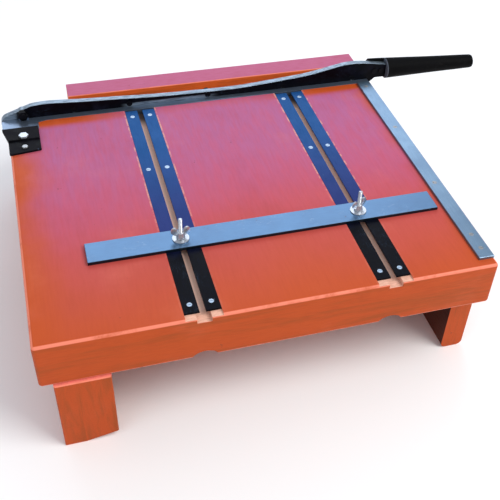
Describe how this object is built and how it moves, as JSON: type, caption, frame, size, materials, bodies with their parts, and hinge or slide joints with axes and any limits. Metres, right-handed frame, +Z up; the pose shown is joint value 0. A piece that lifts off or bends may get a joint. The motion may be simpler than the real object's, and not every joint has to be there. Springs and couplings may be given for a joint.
{
  "type": "guillotine paper cutter",
  "caption": "Bench guillotine paper cutter: thick wooden table on runners, bed knife along the rear edge, pivoted knife arm with a tapered grip, and a sliding paper gauge clamped by wing nuts.",
  "frame": {"origin": "middle of the rectangle that the whole cutter covers, on the floor", "axes": "+X along the cut from the pivot to the grip, +Y from the front edge to the knife, +Z up"},
  "size_m": [0.8586, 0.6086, 0.2435],
  "materials": {
    "painted_wood": "worn orange red gloss paint on wood, bare wood in the slots",
    "bed_steel": "ground tool steel, satin",
    "arm_steel": "black paint on the faces, bare worn steel along the spine and edge",
    "blade_steel": "dark steel plate with a ground bevel",
    "blued_steel": "blued flat steel, satin",
    "bare_steel": "dull bare steel, satin",
    "black_iron": "black painted",
    "fastener_steel": "zinc plated, dulled",
    "grip_rubber": "black, slightly worn"
  },
  "bodies": {
    "table": {"table_top": "painted_wood", "left_runner": "painted_wood", "right_runner": "painted_wood", "rear_ledger": "painted_wood", "rear_rail": "painted_wood", "coach_screws": "fastener_steel", "ledger_screws": "fastener_steel", "rail_screws": "fastener_steel", "strip_screws": "fastener_steel", "guide_screws": "fastener_steel", "bed_knife_screws": "fastener_steel", "left_slot_outer_strip": "blued_steel", "left_slot_inner_strip": "blued_steel", "right_slot_inner_strip": "blued_steel", "right_slot_outer_strip": "blued_steel", "side_guide": "bare_steel", "bed_knife": "bed_steel", "stop_pin": "bed_steel", "corner_bracket": "black_iron", "bracket_screw": "fastener_steel", "bracket_bolt": "fastener_steel", "pivot_screw": "black_iron", "pivot_nut": "black_iron"},
    "arm": {"knife_arm": "arm_steel", "knife_blade": "blade_steel", "blade_bolts": "black_iron", "blade_nuts": "black_iron", "grip": "grip_rubber", "grip_rivets": "black_iron"},
    "gauge": {"gauge_bar": "bare_steel", "left_gauge_bolt": "fastener_steel", "right_gauge_bolt": "fastener_steel", "left_gauge_washer": "fastener_steel", "right_gauge_washer": "fastener_steel"},
    "left_nut": {"left_wing_nut": "fastener_steel"},
    "right_nut": {"right_wing_nut": "fastener_steel"}
  },
  "joints": [
    {"name": "arm_pivot", "type": "hinge", "parent": "table", "child": "arm", "pos_m": [-0.39325, 0.21355, 0.212], "axis": [0, -1, 0], "range_deg": [0, 70]},
    {"name": "gauge_slide", "type": "slide", "parent": "table", "child": "gauge", "axis": [0, 1, 0], "range_m": [-0.115, 0.305]},
    {"name": "left_wing_nut_turn", "type": "hinge", "parent": "gauge", "child": "left_nut", "pos_m": [-0.20375, -0.15125, 0.2145], "axis": [0, 0, 1], "continuous": true},
    {"name": "right_wing_nut_turn", "type": "hinge", "parent": "gauge", "child": "right_nut", "pos_m": [0.06075, -0.15125, 0.2145], "axis": [0, 0, 1], "continuous": true}
  ]
}
